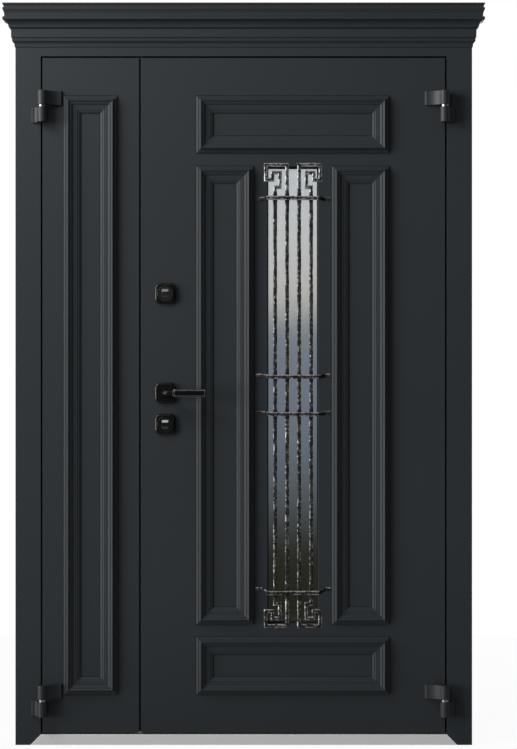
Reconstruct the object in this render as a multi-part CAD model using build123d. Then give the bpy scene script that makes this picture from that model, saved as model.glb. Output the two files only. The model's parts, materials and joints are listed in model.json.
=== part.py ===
from build123d import *
from math import cos, radians, sin, sqrt
import os

# One-and-a-half-leaf steel entrance door in its frame, seen from outside.
# X runs to the right, Y into the house and Z up. The origin is the middle of the sill's
# underside, on the plane of the outer wall face. Sizes are in millimetres.

# Frame
FRAME_WIDTH = 1300.0
FRAME_HEIGHT = 2050.0
JAMB_FACE = 72.0
HEAD_FACE = 89.0
FACE_PROUD = 24.0  # the frame's face stands in front of the wall
WALL_LAP = 30.0  # the face flange laps the wall round the opening
FRAME_DEPTH = 96.0  # behind the wall face
STOP_LAP = 18.0  # the stop laps the back of the leaves
ANCHOR_HOLE = 14.0
ANCHOR_COUNT = 4
ANCHOR_RISE = 300.0  # lowest anchor above the floor
ANCHOR_DROP = 250.0  # highest anchor below the frame's top
ANCHOR_DEPTH = 30.0  # behind the wall face

# Sill
SILL_HEIGHT = 30.0
SILL_STOP = 22.0
THRESHOLD_SHEET = 2.0
NOSE_BEND = 0.9  # bend of the nose, as a share of the sheet

# Cornice
CORNICE_LAP = 63.0  # down the face of the head
CORNICE_HEIGHT = 120.0
CORNICE_REACH = 33.0

# Leaves
LEAF_GAP = 5.0
LEAF_THICK = 80.0
FRONT_PANEL = 16.0
BACK_PANEL = 12.0
SIDE_LEAF_WIDTH = 275.0
SIDE_BEVEL = 20.0  # the side leaf's meeting edge falls back by this much
MAIN_BEVEL = 7.0
SEAL_SPACE = 6.0  # between the leaves' back and the stops
SEAL_PLAY = 1.0
SEAL_WIDTH = 11.0
MEETING_SEAL_DEPTH = 18.0  # behind the front face
MEETING_SEAL_SIZE = 12.0
MEETING_SEAL_PLAY = 0.8

# Panel mouldings
PANEL_END_MARGIN = 108.0  # flat leaf above and below the panels
MAIN_STILE = 157.5  # flat leaf beside the panels of the main leaf
SIDE_STILE = 60.0
SHORT_PANEL_HEIGHT = 164.5
PANEL_SPACE = 35.0
MOULDING_WIDTH = 50.5
MOULDING_PROUD = 15.0
MOULDING_SEAT = 2.0  # depth of the shallow rebate that it sits in
MOULDING_LINE = 1.2  # open line between the moulding and the rebate's sides
GROOVE_WIDTH = 8.0
GROOVE_DEPTH = 4.0

# Window
WINDOW_WIDTH = 145.0
WINDOW_BORDER = 38.0  # flat leaf between the window and the tall panels
WINDOW_INSET = 1.5  # window ends inside the ends of the tall panels
GLASS_SETBACK = 32.0  # behind the front face
GLASS_LAP = 10.0
GLASS_PLAY = 1.0
PANE = 4.0
SPACER_DEPTH = 16.0
SPACER_WIDTH = 8.0
BEAD_PROUD = 4.0
BEAD_LAP = 12.0

# Grille
GRILLE_BAR = 10.5
GRILLE_STAND = 26.0  # bar centre in front of the leaf
GRILLE_OVERLAP = 1.0  # top key bar beyond the window's end
INNER_BAR = 17.0  # bar places, from the grille's middle
OUTER_BAR = 51.0
KEY_JOG = 37.5
KEY_CURL = 58.0
KEY_OUTER = 77.0
KEY_CURL_TOP = 21.5  # key bars, down from the top bar
KEY_CURL_FOOT = 42.0
KEY_JOG_DROP = 62.5
CROSSBAR_DROP = 97.0  # outer crossbar, down from the top bar
CROSSBAR_PAIR = 106.0  # between the two middle crossbars
CROSSBAR_TALL = 12.5
CROSSBAR_THICK = 8.0
CROSSBAR_MARGIN = 4.5  # from the crossbar's end to the panel moulding
CROSSBAR_FOOT = 17.0
COLLAR_WIDTH = 13.0
COLLAR_TALL = 22.0

# Locks and handle
BACKSET = 70.0
HANDLE_HEIGHT = 1002.0
UPPER_LOCK_RISE = 283.0  # above the handle
LOWER_LOCK_DROP = 89.0  # below the handle
ROSETTE = 59.0
ROSETTE_CORNER = 16.0
ROSETTE_THICK = 10.0
ROSETTE_EDGE = 5.0
LOCK_DISC = 46.0
LOCK_DISC_THICK = 3.0
SHUTTER_WIDTH = 18.0
SHUTTER_TALL = 25.0
SHUTTER_THICK = 4.0
SHUTTER_SLOPE = 7.0  # height of its sloping top and foot
SHUTTER_RIM = 1.0  # thickness left at the end of each slope
SPINDLE = 8.0
SPINDLE_HOLE = 16.0
SPINDLE_GRIP = 14.0  # the spindle reaches into each lever's neck
NECK = 19.0
NECK_SEAT = 2.0  # the neck starts this far above the leaf, in the rosette's hole
NECK_CLEARANCE = 0.3
NECK_BEND = 12.0
NECK_REACH = 25.0  # along the lever, from the spindle to the grip
LEVER_LENGTH = 117.0
LEVER_STAND = 55.0  # middle of the grip in front of the leaf
GRIP_TALL = 22.5
GRIP_DEEP = 14.0
GRIP_CHAMFER = 3.5
FACEPLATE_WIDTH = 24.0
FACEPLATE_THICK = 3.0
FACEPLATE_DEPTH = 56.0  # plate middle behind the front face
FACEPLATE_MARGIN = 70.0  # above and below the lock's middle

# Hinges
HINGE_DROP = 138.5  # washer of the top hinge below the leaf's top
HINGE_RISE = 95.0  # washer of the bottom hinge above the leaf's foot
HINGE_STAND = 19.0  # hinge axis in front of the face
HINGE_INSET = 4.5  # hinge axis inside the middle of the leaf gap
BARREL = 27.5
WING_HEIGHT = 39.5
POST_HEIGHT = 42.5
WASHER = 7.0
WASHER_DIAMETER = 21.0
PIN = 10.0
PIN_LENGTH = 36.0
PIN_CLEARANCE = 0.3
WING_REACH = 56.0
LEG_REACH = 34.0
WING_ROOT = 5.0  # from the axis to the near edge of the plate
WING_TIP = 6.0
WING_BEVEL = 4.5
WING_HOLLOW = 6.0  # depth of the swept curve
WING_START = 48.0  # degrees round the barrel
LEG_START = 10.0

# Places worked out from the sizes
HALF_WIDTH = FRAME_WIDTH / 2
REBATE_X = HALF_WIDTH - JAMB_FACE
BODY_X = HALF_WIDTH - WALL_LAP
FACE_Y = -FACE_PROUD
LEAF_BACK_Y = FACE_Y + LEAF_THICK
STOP_Y = LEAF_BACK_Y + SEAL_SPACE
HEAD_Z = FRAME_HEIGHT - HEAD_FACE
LEAF_X = REBATE_X - LEAF_GAP
STOP_X = LEAF_X - STOP_LAP
LEAF_BOTTOM = SILL_HEIGHT + LEAF_GAP
LEAF_TOP = HEAD_Z - LEAF_GAP
LEAF_MIDDLE = (LEAF_BOTTOM + LEAF_TOP) / 2
CORNICE_BOTTOM = FRAME_HEIGHT - CORNICE_LAP
SIDE_EDGE_X = -LEAF_X + SIDE_LEAF_WIDTH
MAIN_EDGE_X = SIDE_EDGE_X + LEAF_GAP
MAIN_CENTRE_X = (MAIN_EDGE_X + LEAF_X) / 2
CORE_Y = FACE_Y + FRONT_PANEL
BACK_Y = LEAF_BACK_Y - BACK_PANEL
GLASS_Y = FACE_Y + GLASS_SETBACK
PANELS_LOW = LEAF_BOTTOM + PANEL_END_MARGIN
PANELS_HIGH = LEAF_TOP - PANEL_END_MARGIN
TALL_LOW = PANELS_LOW + SHORT_PANEL_HEIGHT + PANEL_SPACE
TALL_HIGH = PANELS_HIGH - SHORT_PANEL_HEIGHT - PANEL_SPACE
WINDOW_HEIGHT = TALL_HIGH - TALL_LOW - 2 * WINDOW_INSET
SURROUND_HALF = WINDOW_WIDTH / 2 + WINDOW_BORDER
GRILLE_HALF = WINDOW_HEIGHT / 2 + GRILLE_OVERLAP
LOCK_X = MAIN_EDGE_X + BACKSET
UPPER_LOCK_HEIGHT = HANDLE_HEIGHT + UPPER_LOCK_RISE
LOWER_LOCK_HEIGHT = HANDLE_HEIGHT - LOWER_LOCK_DROP
HINGE_X = REBATE_X - LEAF_GAP / 2 - HINGE_INSET
HINGE_Y = FACE_Y - HINGE_STAND
HINGE_HEIGHTS = {"top": LEAF_TOP - HINGE_DROP, "bottom": LEAF_BOTTOM + HINGE_RISE}
SIDES = {"left": -1, "right": 1}
OVERCUT = 1.0  # a cut runs past the faces that it opens


def block(x, y, z):
    """Box between two limits on each axis."""
    limits = (x, y, z)
    middle = [(low + high) / 2 for low, high in limits]
    size = [high - low for low, high in limits]
    return Pos(*middle) * Box(*size)


def prism(points, low, high):
    """Solid on an outline in X and Y, from one height to another."""
    face = Face(Wire.make_polygon([(x, y, low) for x, y in points]))
    return extrude(face, amount=high - low, dir=(0, 0, 1))


def plate(points, front, back):
    """Solid on an outline in X and Z, from one depth to another."""
    face = Face(Wire.make_polygon([(x, front, z) for x, z in points]))
    return extrude(face, amount=back - front, dir=(0, 1, 0))


def rail(points, left, right):
    """Solid on a section in Y and Z, from one side to the other."""
    face = Face(Wire.make_polygon([(left, y, z) for y, z in points]))
    return extrude(face, amount=right - left, dir=(1, 0, 0))


def window(extra, front, back):
    """Block the size of the window opening, with an extra width all round."""
    half_width = WINDOW_WIDTH / 2 + extra
    half_height = WINDOW_HEIGHT / 2 + extra
    return block(
        (MAIN_CENTRE_X - half_width, MAIN_CENTRE_X + half_width),
        (front, back),
        (LEAF_MIDDLE - half_height, LEAF_MIDDLE + half_height),
    )


def rod_y(diameter, x, z, front, back):
    """Round bar along Y."""
    middle = Pos(x, (front + back) / 2, z) * Rot(90, 0, 0)
    return middle * Cylinder(diameter / 2, back - front)


def sill_outline(inset):
    """Front of the sill, with its ends cut at 45 degrees under the jambs."""
    top = SILL_HEIGHT - inset
    return [
        (-REBATE_X - SILL_HEIGHT, 0),
        (REBATE_X + SILL_HEIGHT, 0),
        (REBATE_X + inset, top),
        (-REBATE_X - inset, top),
    ]


# Frame pieces


def jamb(side):
    """Upright with a face flange, a body in the wall and a stop behind the leaf."""
    section = [
        (HALF_WIDTH, FACE_Y),
        (REBATE_X, FACE_Y),
        (REBATE_X, STOP_Y),
        (STOP_X, STOP_Y),
        (STOP_X, FRAME_DEPTH),
        (BODY_X, FRAME_DEPTH),
        (BODY_X, 0),
        (HALF_WIDTH, 0),
    ]
    post = prism([(side * x, y) for x, y in section], 0, FRAME_HEIGHT)
    post -= block(
        (-HALF_WIDTH, HALF_WIDTH),
        (0, FRAME_DEPTH + OVERCUT),
        (FRAME_HEIGHT - WALL_LAP, FRAME_HEIGHT + OVERCUT),
    )
    post -= plate(sill_outline(0), FACE_Y - OVERCUT, FRAME_DEPTH + OVERCUT)
    pitch = (FRAME_HEIGHT - ANCHOR_DROP - ANCHOR_RISE) / (ANCHOR_COUNT - 1)
    for count in range(ANCHOR_COUNT):
        height = ANCHOR_RISE + count * pitch
        middle = Pos(side * (REBATE_X + BODY_X) / 2, ANCHOR_DEPTH, height)
        hole = Cylinder(ANCHOR_HOLE / 2, BODY_X - REBATE_X + 2 * OVERCUT)
        post -= middle * Rot(0, 90, 0) * hole
    return post


def head(jambs):
    """Cross piece over the leaves, fitted between the jambs."""
    section = [
        (FACE_Y, HEAD_Z),
        (FACE_Y, FRAME_HEIGHT),
        (0, FRAME_HEIGHT),
        (0, FRAME_HEIGHT - WALL_LAP),
        (FRAME_DEPTH, FRAME_HEIGHT - WALL_LAP),
        (FRAME_DEPTH, LEAF_TOP - STOP_LAP),
        (STOP_Y, LEAF_TOP - STOP_LAP),
        (STOP_Y, HEAD_Z),
    ]
    beam = rail(section, -REBATE_X, REBATE_X)
    for post in jambs:
        beam -= post
    return beam


def sill_bar():
    """Steel bar under the threshold plate, with the stop for the leaves' feet."""
    bar = plate(sill_outline(THRESHOLD_SHEET), FACE_Y + THRESHOLD_SHEET, FRAME_DEPTH)
    stop_top = SILL_HEIGHT + SILL_STOP
    return bar + block((-STOP_X, STOP_X), (STOP_Y, FRAME_DEPTH), (0, stop_top))


def threshold_plate(bar):
    """Stainless sheet folded over the front and the tread of the sill bar."""
    sheet = plate(sill_outline(0), FACE_Y, STOP_Y) - bar
    nose = sheet.edges().filter_by(Axis.X).group_by(Axis.Y)[0].sort_by(Axis.Z)[-1]
    return fillet(nose, THRESHOLD_SHEET * NOSE_BEND)


def cornice_section():
    """Moulded profile of the cornice: reach outwards against height."""
    top = CORNICE_BOTTOM + CORNICE_HEIGHT

    def at(reach, drop):
        """Point at a share of the reach and a share of the height."""
        return (CORNICE_REACH * reach, top - CORNICE_HEIGHT * drop)

    def curve(start, finish, bulge):
        """Arc whose bulge is a share of the reach, hollow where it is negative."""
        return SagittaArc(at(*start), at(*finish), CORNICE_REACH * bulge)

    def flat(start, finish):
        return Line(at(*start), at(*finish))

    lines = [
        flat((0, 0), (1, 0)),
        flat((1, 0), (1, 0.028)),
        flat((1, 0.028), (0.92, 0.054)),
        flat((0.92, 0.054), (0.90, 0.101)),
        flat((0.90, 0.101), (1, 0.115)),
        flat((1, 0.115), (1, 0.149)),
        curve((1, 0.149), (0.86, 0.250), -0.02),
        flat((0.86, 0.250), (0.85, 0.308)),
        flat((0.85, 0.308), (0.98, 0.330)),
        curve((0.98, 0.330), (0.98, 0.388), 0.02),
        curve((0.98, 0.388), (0.52, 0.550), -0.12),
        flat((0.52, 0.550), (0.345, 0.588)),
        flat((0.345, 0.588), (0.33, 0.786)),
        flat((0.33, 0.786), (0.24, 0.793)),
        flat((0.24, 0.793), (0.24, 0.806)),
        flat((0.24, 0.806), (0.27, 0.818)),
        flat((0.27, 0.818), (0.26, 0.869)),
        curve((0.26, 0.869), (0.07, 0.960), -0.05),
        flat((0.07, 0.960), (0.06, 1)),
        flat((0.06, 1), (0, 1)),
        flat((0, 1), (0, 0)),
    ]
    return make_face(lines)


def cornice():
    """Moulding across the frame's head, mitred round both ends."""
    section = cornice_section()
    low = CORNICE_BOTTOM
    high = CORNICE_BOTTOM + CORNICE_HEIGHT
    far = 2 * CORNICE_REACH
    front_zone = prism(
        [
            (-HALF_WIDTH, FACE_Y),
            (HALF_WIDTH, FACE_Y),
            (HALF_WIDTH + far, FACE_Y - far),
            (-HALF_WIDTH - far, FACE_Y - far),
        ],
        low,
        high,
    )
    front_plane = Plane(origin=(0, FACE_Y, 0), x_dir=(0, -1, 0), z_dir=(-1, 0, 0))
    bar = extrude(front_plane * section, amount=HALF_WIDTH + far, both=True)
    moulding = bar & front_zone
    return_zone = prism(
        [
            (HALF_WIDTH, FACE_Y),
            (HALF_WIDTH + far, FACE_Y - far),
            (HALF_WIDTH + far, 0),
            (HALF_WIDTH, 0),
        ],
        low,
        high,
    )
    return_plane = Plane(origin=(HALF_WIDTH, 0, 0), x_dir=(1, 0, 0), z_dir=(0, -1, 0))
    end = extrude(return_plane * section, amount=far + FACE_PROUD) & return_zone
    cap = block((-HALF_WIDTH, HALF_WIDTH), (FACE_Y, 0), (FRAME_HEIGHT, high))
    return moulding + end + mirror(end, about=Plane.YZ) + cap


def frame_seal():
    """Rubber ring on the stops, just behind the leaves."""
    front = LEAF_BACK_Y + SEAL_PLAY
    outer_x = LEAF_X - (STOP_LAP - SEAL_WIDTH) / 2
    top = LEAF_TOP - (STOP_LAP - SEAL_WIDTH) / 2
    bottom = SILL_HEIGHT + (SILL_STOP - SEAL_WIDTH) / 2
    inner_x = outer_x - SEAL_WIDTH
    ring = block((-outer_x, outer_x), (front, STOP_Y), (bottom, top))
    return ring - block(
        (-inner_x, inner_x),
        (front - OVERCUT, STOP_Y + OVERCUT),
        (bottom + SEAL_WIDTH, top - SEAL_WIDTH),
    )


# Hinges, made at the left with the axis on the origin


def knuckle_outline(reach, root, angle, side):
    """Barrel and a plate that sweeps from it onto a flat face beside it."""
    radius = BARREL / 2
    start = (side * radius * cos(radians(angle)), -radius * sin(radians(angle)))
    tip = (side * (reach - WING_BEVEL), HINGE_STAND - WING_TIP)
    end = (side * reach, HINGE_STAND)
    near = (side * root, HINGE_STAND)
    barrel_side = (side * root, sqrt(radius**2 - root**2))
    wing = make_face(
        [
            SagittaArc(start, tip, side * WING_HOLLOW),
            Line(tip, end),
            Line(end, near),
            Line(near, barrel_side),
            Line(barrel_side, start),
        ]
    )
    return wing + Circle(radius)


def hinge_wing():
    """Upper knuckle: turns on the pin and carries the leaf."""
    outline = knuckle_outline(WING_REACH, WING_ROOT, WING_START, 1)
    wing = extrude(outline, amount=WING_HEIGHT, dir=(0, 0, 1))
    depth = PIN_LENGTH + PIN_CLEARANCE
    bore = Cylinder(PIN / 2 + PIN_CLEARANCE, depth + OVERCUT)
    wing -= Pos(0, 0, (depth - OVERCUT) / 2) * bore
    return Pos(0, 0, WASHER / 2) * wing


def hinge_post():
    """Lower knuckle with its leg on the jamb and the pin that stands on it."""
    outline = knuckle_outline(LEG_REACH, REBATE_X - HINGE_X, LEG_START, -1)
    post = extrude(outline, amount=POST_HEIGHT, dir=(0, 0, 1))
    pin_height = WASHER + PIN_LENGTH
    post += Pos(0, 0, POST_HEIGHT + pin_height / 2) * Cylinder(PIN / 2, pin_height)
    return Pos(0, 0, -POST_HEIGHT - WASHER / 2) * post


def hinge_washer():
    """Steel ring between the knuckles."""
    height = WASHER - PIN_CLEARANCE
    ring = Cylinder(WASHER_DIAMETER / 2, height) - Cylinder(PIN / 2, height)
    return Pos(0, 0, -PIN_CLEARANCE / 2) * ring


def at_hinge(piece, side, height):
    """Move a hinge piece to its corner, turned over for the right-hand leaf."""
    turned = piece if side < 0 else mirror(piece, about=Plane.YZ)
    return Pos(side * HINGE_X, HINGE_Y, height) * turned


# Leaves


def side_edge(y):
    """Meeting edge of the side leaf at a depth."""
    return SIDE_EDGE_X - SIDE_BEVEL * (y - FACE_Y) / LEAF_THICK


def main_edge(y):
    """Meeting edge of the main leaf at a depth."""
    return MAIN_EDGE_X + MAIN_BEVEL * (y - FACE_Y) / LEAF_THICK


def leaf_layer(edge, hinge_x, front, back):
    """One layer of a leaf, with the bevel of its meeting edge."""
    outline = [(hinge_x, front), (edge(front), front), (edge(back), back), (hinge_x, back)]
    return prism(outline, LEAF_BOTTOM, LEAF_TOP)


def edge_plate(edge, inward, height):
    """Flat lock plate let into a meeting edge."""
    front = FACE_Y + FACEPLATE_DEPTH - FACEPLATE_WIDTH / 2
    back = front + FACEPLATE_WIDTH
    depth = inward * FACEPLATE_THICK
    outline = [
        (edge(front), front),
        (edge(back), back),
        (edge(back) + depth, back),
        (edge(front) + depth, front),
    ]
    return prism(outline, height - FACEPLATE_MARGIN, height + FACEPLATE_MARGIN)


def edge_plates(edge, inward):
    """Plates of the upper lock and of the lock with the handle."""
    lower = (HANDLE_HEIGHT + LOWER_LOCK_HEIGHT) / 2
    return [edge_plate(edge, inward, height) for height in (UPPER_LOCK_HEIGHT, lower)]


def panel_boxes():
    """Outer limits in X and Z of each moulded panel."""
    left = MAIN_EDGE_X + MAIN_STILE
    right = LEAF_X - MAIN_STILE
    all_high = (PANELS_LOW, PANELS_HIGH)
    tall = (TALL_LOW, TALL_HIGH)
    return {
        "side": ((-LEAF_X + SIDE_STILE, SIDE_EDGE_X - SIDE_STILE), all_high),
        "top": ((left, right), (PANELS_HIGH - SHORT_PANEL_HEIGHT, PANELS_HIGH)),
        "left": ((left, MAIN_CENTRE_X - SURROUND_HALF), tall),
        "right": ((MAIN_CENTRE_X + SURROUND_HALF, right), tall),
        "bottom": ((left, right), (PANELS_LOW, PANELS_LOW + SHORT_PANEL_HEIGHT)),
    }


def moulding_section():
    """Profile of the panel moulding: distance from its outer edge against height."""

    def at(share, rise):
        return (MOULDING_WIDTH * share, MOULDING_PROUD * rise)

    def foot(share):
        return (MOULDING_WIDTH * share, -MOULDING_SEAT)

    return make_face(
        [
            Line(foot(0), at(0, 0.06)),
            SagittaArc(at(0, 0.06), at(0.105, 0.36), -0.6),
            Line(at(0.105, 0.36), at(0.165, 0.37)),
            SagittaArc(at(0.165, 0.37), at(0.275, 1), -0.8),
            Line(at(0.275, 1), at(0.30, 1)),
            Line(at(0.30, 1), at(0.39, 0.73)),
            Line(at(0.39, 0.73), at(0.45, 0.71)),
            Line(at(0.45, 0.71), at(0.555, 0.44)),
            Line(at(0.555, 0.44), at(0.665, 0.42)),
            Line(at(0.665, 0.42), at(0.675, 0.37)),
            Line(at(0.675, 0.37), at(0.775, 0.36)),
            Line(at(0.775, 0.36), at(0.835, 0.25)),
            Line(at(0.835, 0.25), at(0.88, 0.24)),
            Line(at(0.88, 0.24), at(1, 0.02)),
            Line(at(1, 0.02), foot(1)),
            Line(foot(1), foot(0)),
        ]
    )


def moulding_ring(box):
    """Four mitred lengths of moulding round a panel, on the leaf's face."""
    (left, right), (low, high) = box
    corners = [
        ((left, low), (1, 0, 0), right - left),
        ((right, low), (0, 0, 1), high - low),
        ((right, high), (-1, 0, 0), right - left),
        ((left, high), (0, 0, -1), high - low),
    ]
    section_plane = Plane(origin=(0, 0, 0), x_dir=(0, 1, 0), z_dir=(1, 0, 0))
    ring = None
    for (x, z), along, length in corners:
        bar = extrude(section_plane * moulding_section(), amount=length)
        mitre = prism(
            [
                (0, 0),
                (length, 0),
                (length - MOULDING_WIDTH, MOULDING_WIDTH),
                (MOULDING_WIDTH, MOULDING_WIDTH),
            ],
            -MOULDING_SEAT - OVERCUT,
            MOULDING_PROUD + OVERCUT,
        )
        placed = Plane(origin=(x, FACE_Y, z), x_dir=along, z_dir=(0, -1, 0)) * (bar & mitre)
        ring = placed if ring is None else ring + placed
    return ring


def channel(box, outset, inset, front, back):
    """Square ring from outside a panel's outline to inside it."""
    (left, right), (low, high) = box

    def filled(extra):
        return block(
            (left - extra, right + extra), (front, back), (low - extra, high + extra)
        )

    return filled(outset) - filled(-inset)


def groove(box):
    """Routed line on the inner panel, in line with a moulding's outer edge."""
    return channel(box, 0, GROOVE_WIDTH, LEAF_BACK_Y - GROOVE_DEPTH, LEAF_BACK_Y + OVERCUT)


def moulding_seat(box):
    """Shallow rebate in the front panel, a little wider than the moulding."""
    inset = MOULDING_WIDTH + MOULDING_LINE
    return channel(box, MOULDING_LINE, inset, FACE_Y - OVERCUT, FACE_Y + MOULDING_SEAT)


def spindle_hole(front, back):
    """Clear hole round the spindle."""
    return rod_y(SPINDLE_HOLE, LOCK_X, HANDLE_HEIGHT, front - OVERCUT, back + OVERCUT)


def side_leaf():
    """Pieces of the narrow leaf."""
    core = leaf_layer(side_edge, -LEAF_X, CORE_Y, BACK_Y)
    strikes = edge_plates(side_edge, -1)
    for strike in strikes:
        core -= strike
    back = leaf_layer(side_edge, -LEAF_X, BACK_Y, LEAF_BACK_Y)
    seal_front = FACE_Y + MEETING_SEAL_DEPTH
    seal_back = seal_front + MEETING_SEAL_SIZE
    seal = prism(
        [
            (side_edge(seal_front), seal_front),
            (main_edge(seal_front) - MEETING_SEAL_PLAY, seal_front),
            (main_edge(seal_back) - MEETING_SEAL_PLAY, seal_back),
            (side_edge(seal_back), seal_back),
        ],
        LEAF_BOTTOM,
        LEAF_TOP,
    )
    boxes = panel_boxes()
    front = leaf_layer(side_edge, -LEAF_X, FACE_Y, CORE_Y)
    return {
        "side_leaf_front_panel": front - moulding_seat(boxes["side"]),
        "side_leaf_core": core,
        "side_leaf_back_panel": back - groove(boxes["side"]),
        "side_leaf_moulding": moulding_ring(boxes["side"]),
        "meeting_seal": seal,
        "strike_plates": Compound(children=strikes),
    }


def main_leaf():
    """Panels, core and mouldings of the wide leaf."""
    front = leaf_layer(main_edge, LEAF_X, FACE_Y, CORE_Y)
    front -= window(0, FACE_Y - OVERCUT, CORE_Y + OVERCUT)
    front -= spindle_hole(FACE_Y, CORE_Y)
    core = leaf_layer(main_edge, LEAF_X, CORE_Y, BACK_Y)
    core -= window(0, CORE_Y - OVERCUT, GLASS_Y + OVERCUT)
    core -= window(GLASS_LAP + GLASS_PLAY, GLASS_Y, BACK_Y + OVERCUT)
    core -= spindle_hole(CORE_Y, BACK_Y)
    faceplates = edge_plates(main_edge, 1)
    for faceplate in faceplates:
        core -= faceplate
    back = leaf_layer(main_edge, LEAF_X, BACK_Y, LEAF_BACK_Y)
    back -= window(GLASS_LAP + GLASS_PLAY, BACK_Y - OVERCUT, LEAF_BACK_Y + OVERCUT)
    back -= spindle_hole(BACK_Y, LEAF_BACK_Y)
    boxes = panel_boxes()
    pieces = {
        "main_leaf_core": core,
        "lock_faceplates": Compound(children=faceplates),
    }
    for name in ("top", "left", "right", "bottom"):
        pieces[f"{name}_panel_moulding"] = moulding_ring(boxes[name])
        front -= moulding_seat(boxes[name])
        back -= groove(boxes[name])
    pieces["main_leaf_front_panel"] = front
    pieces["main_leaf_back_panel"] = back
    return pieces


def glazing():
    """Sealed double glass in its pocket, and the bead that holds it from inside."""
    inner_pane_y = GLASS_Y + PANE + SPACER_DEPTH
    glass_back = inner_pane_y + PANE
    spacer = window(GLASS_LAP, GLASS_Y + PANE, inner_pane_y)
    spacer -= window(GLASS_LAP - SPACER_WIDTH, GLASS_Y, glass_back)
    pocket = GLASS_LAP + GLASS_PLAY
    bead = window(pocket, glass_back, LEAF_BACK_Y)
    bead += window(pocket + BEAD_LAP, LEAF_BACK_Y, LEAF_BACK_Y + BEAD_PROUD)
    bead -= window(0, glass_back - OVERCUT, LEAF_BACK_Y + BEAD_PROUD + OVERCUT)
    return {
        "outer_glass_pane": window(GLASS_LAP, GLASS_Y, GLASS_Y + PANE),
        "glazing_spacer": spacer,
        "inner_glass_pane": window(GLASS_LAP, inner_pane_y, glass_back),
        "inner_glazing_bead": bead,
    }


# Grille


def grille_bars(path):
    """Square bar that follows a list of corners, with square corners."""
    half = GRILLE_BAR / 2
    y = FACE_Y - GRILLE_STAND
    bars = None
    for (x0, z0), (x1, z1) in zip(path, path[1:]):
        bar = block(
            (min(x0, x1) - half, max(x0, x1) + half),
            (y - half, y + half),
            (min(z0, z1) - half, max(z0, z1) + half),
        )
        bars = bar if bars is None else bars + bar
    return bars


def key_loop(side):
    """Two upright bars that close in a square key at the top and at the foot."""
    top = GRILLE_HALF
    upper = [
        (INNER_BAR, top),
        (KEY_OUTER, top),
        (KEY_OUTER, top - KEY_CURL_FOOT),
        (KEY_CURL, top - KEY_CURL_FOOT),
        (KEY_CURL, top - KEY_CURL_TOP),
        (KEY_JOG, top - KEY_CURL_TOP),
        (KEY_JOG, top - KEY_JOG_DROP),
        (OUTER_BAR, top - KEY_JOG_DROP),
    ]
    lower = [(x, -z) for x, z in reversed(upper)]
    loop = upper + lower + upper[:1]
    return [(MAIN_CENTRE_X + side * x, LEAF_MIDDLE + z) for x, z in loop]


def crossbar(height):
    """Flat bar across the uprights, its ends bent back to feet on the leaf."""
    back = FACE_Y - GRILLE_STAND - GRILLE_BAR / 2 + OVERCUT
    front = back - CROSSBAR_THICK
    straight = WINDOW_WIDTH / 2
    end = SURROUND_HALF - CROSSBAR_MARGIN
    foot = end - CROSSBAR_FOOT
    half = [
        (straight, front),
        (foot + CROSSBAR_THICK / 2, FACE_Y - CROSSBAR_THICK),
        (end, FACE_Y - CROSSBAR_THICK / 2),
        (end, FACE_Y),
        (foot - CROSSBAR_THICK / 2, FACE_Y),
        (straight - CROSSBAR_THICK / 2, back),
    ]
    outline = half + [(-x, y) for x, y in reversed(half)]
    low = LEAF_MIDDLE + height - CROSSBAR_TALL / 2
    placed = [(MAIN_CENTRE_X + x, y) for x, y in outline]
    return prism(placed, low, low + CROSSBAR_TALL)


def window_grille():
    """Forged grille in front of the glass, fused where its bars cross."""
    grille = grille_bars(key_loop(1)) + grille_bars(key_loop(-1))
    half = COLLAR_WIDTH / 2
    y = FACE_Y - GRILLE_STAND
    places = (GRILLE_HALF - CROSSBAR_DROP, CROSSBAR_PAIR / 2)
    for height in [sign * place for place in places for sign in (1, -1)]:
        grille += crossbar(height)
        z = LEAF_MIDDLE + height
        for offset in (-OUTER_BAR, -INNER_BAR, INNER_BAR, OUTER_BAR):
            x = MAIN_CENTRE_X + offset
            grille += block(
                (x - half, x + half),
                (y - half, y + half),
                (z - COLLAR_TALL / 2, z + COLLAR_TALL / 2),
            )
    return grille


# Locks and handle, made on a leaf face at the origin, standing out along Z


def rosette(hole):
    """Rounded square plate with an eased front edge."""
    body = extrude(RectangleRounded(ROSETTE, ROSETTE, ROSETTE_CORNER), amount=ROSETTE_THICK)
    body = fillet(body.faces().sort_by(Axis.Z)[-1].edges(), ROSETTE_EDGE)
    if hole > 0:
        body -= Cylinder(hole / 2, 3 * ROSETTE_THICK)
    return body


def lock_disc():
    """Round boss on a rosette with the shutter of the keyhole."""
    disc = extrude(Circle(LOCK_DISC / 2), amount=LOCK_DISC_THICK)
    disc = chamfer(disc.faces().sort_by(Axis.Z)[-1].edges(), LOCK_DISC_THICK / 3)
    shutter = rail(
        [
            (-SHUTTER_TALL / 2, 0),
            (-SHUTTER_TALL / 2, SHUTTER_RIM),
            (-SHUTTER_TALL / 2 + SHUTTER_SLOPE, SHUTTER_THICK),
            (SHUTTER_TALL / 2 - SHUTTER_SLOPE, SHUTTER_THICK),
            (SHUTTER_TALL / 2, SHUTTER_RIM),
            (SHUTTER_TALL / 2, 0),
        ],
        -SHUTTER_WIDTH / 2,
        SHUTTER_WIDTH / 2,
    )
    return Pos(0, 0, ROSETTE_THICK) * (disc + Pos(0, 0, LOCK_DISC_THICK) * shutter)


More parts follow.
